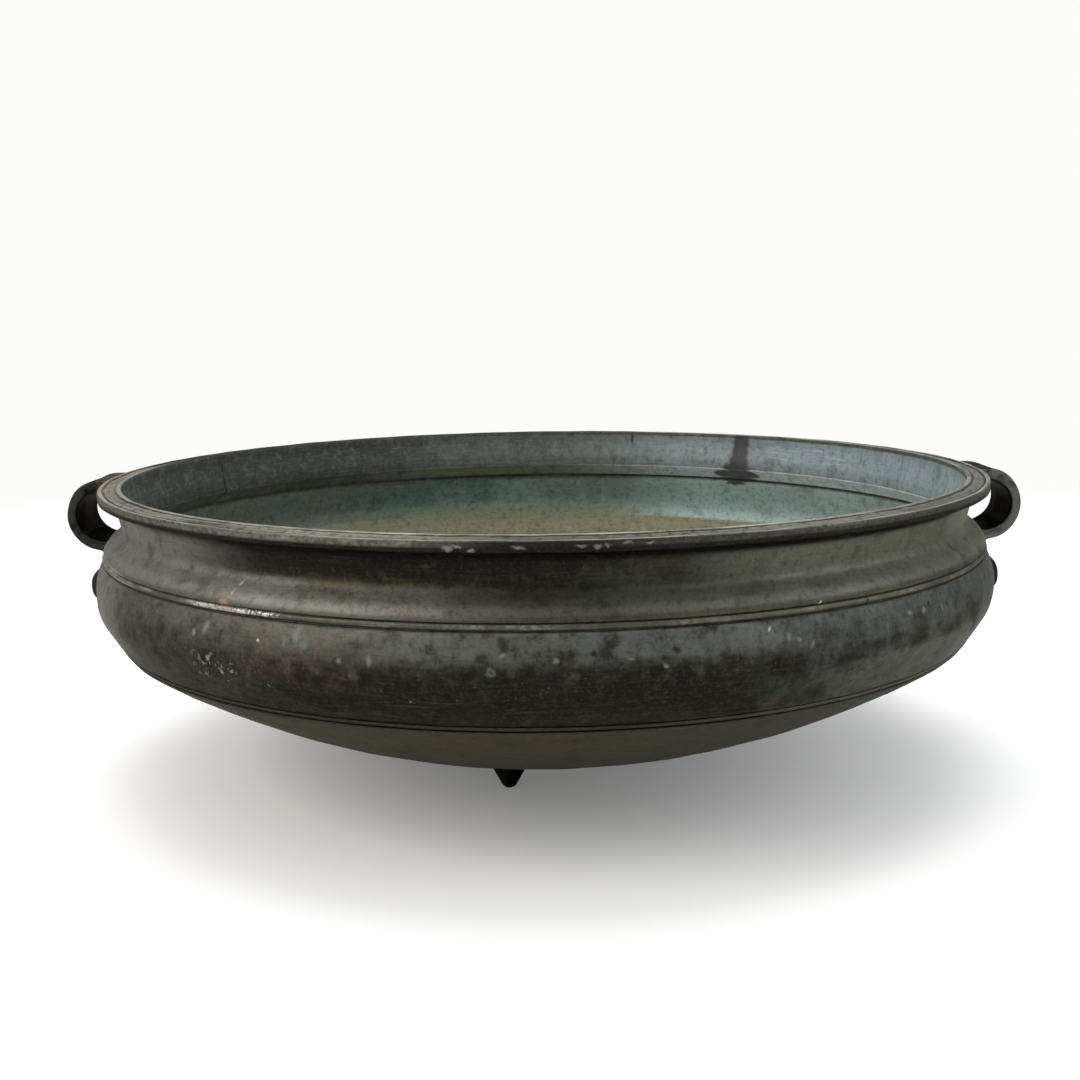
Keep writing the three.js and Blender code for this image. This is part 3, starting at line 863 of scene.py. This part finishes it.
# Blackened cast bronze: the straps and feet, darkened by hands and smoke, nearly bare of crust
blackenedBronze = {
    "roughness": 0.55,
    "metallic": 0.97,
    "edgeTint": "#b3b2ae",
    "ground": [  # level and colour
        (0, "#0b0a08"), (300, "#171613"), (150, "#161512"),
    ],
    "layers": [
        coat("#2b2a26", 0.5, size=14, between=(0.5, 0.72), roughness=0.5),
        coat("#0b0a08", 0.5, size=6, between=(0.5, 0.3)),
        coat("#45443e", 0.2, size=2.6, between=(0.5, 0.7)),
        # Between a strap and the wall: near black, painted shade
        coat("#020202", 0.97, radii=(425, 476, 4), levels=(232, 287, 4), metallic=1.0, roughness=0.7),
        # Lighter on the faces that look to the front, most on the right strap: painted sheen
        coat("#36342e", 0.85, radii=(452.8, 900, 1), levels=(150, 305, 4), faces=(front, 0.45, 0.85),
             size=14, between=(0.25, 0.6)),
        coat("#62625a", 0.85, radii=(453, 900, 1.5), levels=(215, 305, 4), azimuth=(90, 9, 3),
             faces=(front, 0.45, 0.85), size=14, between=(0.2, 0.55)),
        coat("#5d5048", 0.55, radii=(449, 462, 4), levels=(280, 305, 4), azimuth=(-90, 8, 3), size=6,
             between=(0.35, 0.55)),
        coat("#4a211f", 0.6, core=0.2, marks=[
            (90, 462, 234, 40, 8, 0), (93.5, 457, 238, 16, 8, 30),
        ]),
        # Lighter on the feet's faces that look to the left and front: painted light
        coat("#2c2b26", 0.7, radii=(120, 176, 3), levels=(-5, 20, 4), faces=((-0.75, -0.66, 0), 0.5, 0.95)),
    ],
    "relief": [(2.6, "place", 0.2), (14, "place", 0.6)],
}

# Verdigris bronze: the inside, gone green over a matt grey-brown skin, chalky and hardly metallic
verdigrisBronze = {
    "roughness": 0.62,
    "metallic": 0.45,
    "edgeTint": "#d6dad4",
    # The ground tone paints light and shade: a dark line in the crease under the lip, partly dirt and
    # partly painted shade, and the lip itself, which faces down, lightened as painted light.
    "ground": [  # level and colour
        (0, "#5e5845"), (300, "#45463f"), (60, "#645e48"), (150, "#6b654d"), (176, "#7c775e"),
        (188, "#787e68"), (200, "#6d8073"), (216, "#67796f"), (231, "#68716a"), (236.5, "#4f544c"),
        (238.2, "#2c2d27"), (239.8, "#33342e"), (241.5, "#83877f"), (246, "#969b94"), (251, "#858a83"),
        (254.5, "#4f534c"), (258, "#454942"), (275, "#3d4039"), (290, "#33362f"), (296, "#45463f"),
    ],
    "layers": [
        # Broad tones of the inside, among them painted light and shade: lighter blue-grey on the right,
        # darker at the left, and the lip that faces down lightened all round.
        coat("#8b989d", 0.9, levels=(256, 294, 2), azimuth=(118, 24, 38), size=60, between=(0.1, 0.45)),
        coat("#90948c", 0.6, levels=(241.5, 254.5, 1.5), metallic=0.0),
        coat("#dbe7f4", 1.0, levels=(241, 254.5, 1), azimuth=(118, 26, 36), metallic=0.0),
        coat("#6b706c", 0.55, levels=(256, 294, 2), azimuth=(170, 22, 20), size=60, between=(0.8, 0.45)),
        coat("#8d8c96", 0.6, levels=(257, 292, 3), azimuth=(115, 26, 20), size=30, between=(0.48, 0.7)),
        coat("#a9bfc0", 0.85, levels=(185, 234, 5), azimuth=(124, 24, 22), size=60, between=(0.2, 0.5)),
        coat("#86a09f", 0.5, levels=(197, 230, 6), azimuth=(165, 18, 22), size=30, between=(0.35, 0.65)),
        # Darker at the left of the inside: painted shade
        coat("#686d62", 0.9, levels=(190, 240, 6), azimuth=(-112, 30, 18), size=60, between=(0.2, 0.5)),
        coat("#343830", 0.75, levels=(240, 296, 6), azimuth=(-108, 30, 24), size=30, between=(0.15, 0.55)),
        coat("#4a6b63", 0.5, levels=(205, 233, 6), azimuth=(-152, 16, 14), size=30, between=(0.62, 0.4)),
        coat("#465347", 0.6, levels=(0, 140, 30), size=60, between=(0.45, 0.65)),
        coat("#4d4230", 0.6, levels=(0, 150, 20), size=30, between=(0.5, 0.3)),
        coat("#8f9a84", 0.5, levels=(40, 160, 20), azimuth=(150, 70, 40), size=60, between=(0.5, 0.3)),
        coat("#2d302a", 0.35, size=14, between=(0.52, 0.72)),
        coat("#7d8782", 0.2, size=14, between=(0.48, 0.3)),
        coat("#262822", 0.3, size=5, between=(0.5, 0.3)),
        coat("#919c98", 0.1, size=5, between=(0.5, 0.72)),
        coat("#9aa5a2", 0.1, size=2.4, drawn="turned", between=(0.5, 0.75)),
        coat("#23241f", 0.16, size=2.4, drawn="turned", between=(0.5, 0.28)),
        coat("#23241f", 0.25, size=14, drawn="streaked", between=(0.52, 0.7), levels=(240, 296, 3)),
        coat("#a7b1b4", 0.6, levels=(272, 286, 3), azimuth=(128, 7, 4), size=2.4, drawn="turned",
             between=(0.52, 0.66)),
        # A dark stain that ran down from the rim and spread at the crease, and thinner ones beside it
        coat("#33312e", 0.85, core=0.65, marks=[
            (142.5, 426, 290, 26, 34, 0), (142.6, 425, 276, 27, 34, 0), (142.8, 425, 265, 32, 30, 0),
            (143.1, 426, 256, 46, 20, 0), (141.2, 432, 248, 34, 15, 0), (143.6, 432, 248, 44, 17, 0),
            (146, 432, 248, 34, 15, 0), (143.8, 440, 240, 62, 10, 0), (144.6, 446, 234, 36, 8, 0),
            (163.4, 428, 291, 5, 17, 0),
        ]),
        coat("#1c1613", 0.9, core=0.4, marks=[
            (-115.7, 426, 283, 4, 16, 0), (-115.6, 424, 268, 3.6, 20, 0), (-115.8, 426, 254, 4.4, 14, 0),
        ]),
    ],
    "relief": [(5, "place", 0.3), (2.4, "turned", 0.14)],
}

casting = makeWall()
zoneBottom = 0
for name, zoneTop in zones:
    casting.data.materials.append(patinatedBronze(name + "SootyBronze", sootyBronze, zoneBottom, zoneTop))
    zoneBottom = zoneTop
casting.data.materials.append(patinatedBronze("verdigrisBronze", verdigrisBronze))
casting.data.materials.append(patinatedBronze("blackenedBronze", blackenedBronze))
print("wall:", len(casting.data.polygons), "faces")

parts = [makeStrap("strapRight", 0), makeStrap("strapLeft", math.pi)]
for i in range(foot["count"]):
    parts.append(makeFoot(f"foot{i}", math.radians(i * 360 / foot["count"] - foot["turn"])))
for part in parts:
    for material in casting.data.materials:
        part.data.materials.append(material)
    blackened = np.full(len(part.data.polygons), len(casting.data.materials) - 1, np.int32)
    part.data.polygons.foreach_set("material_index", blackened)
unite(casting, parts)
casting.data.polygons.foreach_set("use_smooth", [True] * len(casting.data.polygons))
casting.data.set_sharp_from_angle(angle=math.radians(55))
print("casting:", len(casting.data.polygons), "faces")

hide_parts("bowl")
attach(casting, "root")


studio = {
    "floorRadius": 14,
    "floor": "#f6f5f2",
    "background": "#fcfcfb",
    "fade": (0.7, 2.6),    # metres from the vessel over which the floor turns into the background
    "shadowLift": 0.15,    # share of the background's glow near the vessel
    "skyLight": "#f4f7fa",
    "panels": [  # name, place, size, watts, colour
        ("skyPanel", (0.0, 0.6, 2.6), 3.0, 60, "#ffffff"),
        ("leftPanel", (-2.4, -1.6, 1.9), 1.8, 55, "#fffaf2"),
        ("rightPanel", (2.6, -1.0, 1.5), 1.6, 22, "#f2f7ff"),
    ],
}


def makeFloor():
    steps = 96
    ring = [(studio["floorRadius"] * math.cos(math.tau * i / steps),
             studio["floorRadius"] * math.sin(math.tau * i / steps), 0) for i in range(steps)]
    mesh = bpy.data.meshes.new("floor")
    mesh.from_pydata(ring, [], [tuple(range(steps))])
    floor = bpy.data.objects.new("floor", mesh)
    scene.collection.objects.link(floor)
    paint = bpy.data.materials.new("palePaint")
    paint.use_nodes = True
    tree = paint.node_tree
    tree.nodes.clear()
    place = addNode(tree, "TexCoord").outputs["Object"]
    reach = addNode(tree, "VectorMath", {0: place}, operation="LENGTH").outputs["Value"]
    start, end = studio["fade"]
    fade = addNode(tree, "MapRange", {
        "Value": reach, "From Min": start, "From Max": end, "To Min": studio["shadowLift"],
    }, interpolation_type="SMOOTHSTEP").outputs[0]
    matt = addNode(tree, "BsdfDiffuse", {"Color": linear(studio["floor"])})
    glow = addNode(tree, "Emission", {"Color": linear(studio["background"])})
    mixed = addNode(tree, "MixShader", {0: fade, 1: matt.outputs[0], 2: glow.outputs[0]})
    addNode(tree, "OutputMaterial", {"Surface": mixed.outputs[0]})
    mesh.materials.append(paint)


def makeLights():
    target = Vector((0, 0, bowlHigh.z / 2))
    for name, place, size, watts, tint in studio["panels"]:
        data = bpy.data.lights.new(name, "AREA")
        data.shape, data.size, data.energy = "DISK", size, watts
        data.color = linear(tint)[:3]
        panel = bpy.data.objects.new(name, data)
        panel.location = place
        panel.rotation_euler = (target - Vector(place)).to_track_quat("-Z", "Y").to_euler()
        scene.collection.objects.link(panel)


# The room: bright above and behind, darker on the camera's side; the camera sees plain white
def makeRoom():
    world = bpy.data.worlds.new("room")
    world.use_nodes = True
    scene.world = world
    tree = world.node_tree
    tree.nodes.clear()
    direction = addNode(tree, "TexCoord").outputs["Generated"]
    axes = addNode(tree, "SeparateXYZ", {0: direction})
    sky = addNode(tree, "MapRange", {
        "Value": axes.outputs["Z"], "From Min": 0, "From Max": 0.8, "To Min": 1.0, "To Max": 1.2,
    }).outputs[0]
    behind = addNode(tree, "MapRange", {
        "Value": axes.outputs["Y"], "From Min": -0.9, "From Max": 0.2, "To Min": 0.3, "To Max": 1.0,
    }).outputs[0]
    high = addNode(tree, "MapRange", {
        "Value": axes.outputs["Z"], "From Min": 0.2, "From Max": 0.7,
    }).outputs[0]
    shade = addNode(tree, "Math", {0: behind, 1: high}, operation="MAXIMUM").outputs[0]
    strength = addNode(tree, "Math", {0: sky, 1: shade}, operation="MULTIPLY").outputs[0]
    seen = addNode(tree, "LightPath").outputs["Is Camera Ray"]
    lit = addNode(tree, "Background", {"Color": linear(studio["skyLight"]), "Strength": strength})
    plain = addNode(tree, "Background", {"Color": linear(studio["background"]), "Strength": 1.0})
    mixed = addNode(tree, "MixShader", {0: seen, 1: lit.outputs[0], 2: plain.outputs[0]})
    addNode(tree, "OutputWorld", {"Surface": mixed.outputs[0]})


# The photograph's view, solved from the rim's ellipses: metres and degrees
photoView = {
    "distance": 1.4126,
    "height": 0.4632,
    "pitch": 9.692,
    "yaw": -0.175,
    "roll": -0.792,
    "lens": 44.69,
}


def makeCamera():
    pitch, yaw, roll = (math.radians(photoView[key]) for key in ("pitch", "yaw", "roll"))
    ahead = Vector((math.sin(yaw) * math.cos(pitch), math.cos(yaw) * math.cos(pitch), -math.sin(pitch)))
    right = Vector((math.cos(yaw), -math.sin(yaw), 0))
    above = right.cross(ahead)
    rolledRight = math.cos(roll) * right + math.sin(roll) * above
    rolledUp = -math.sin(roll) * right + math.cos(roll) * above
    data = bpy.data.cameras.new("camera")
    data.sensor_fit, data.sensor_width, data.lens = "HORIZONTAL", 36, photoView["lens"]
    camera = bpy.data.objects.new("camera", data)
    turned = Matrix((rolledRight, rolledUp, -ahead)).transposed().to_4x4()
    camera.matrix_world = Matrix.Translation((0, -photoView["distance"], photoView["height"])) @ turned
    scene.collection.objects.link(camera)
    scene.camera = camera


makeFloor()
makeLights()
makeRoom()
makeCamera()
print("studio: done")
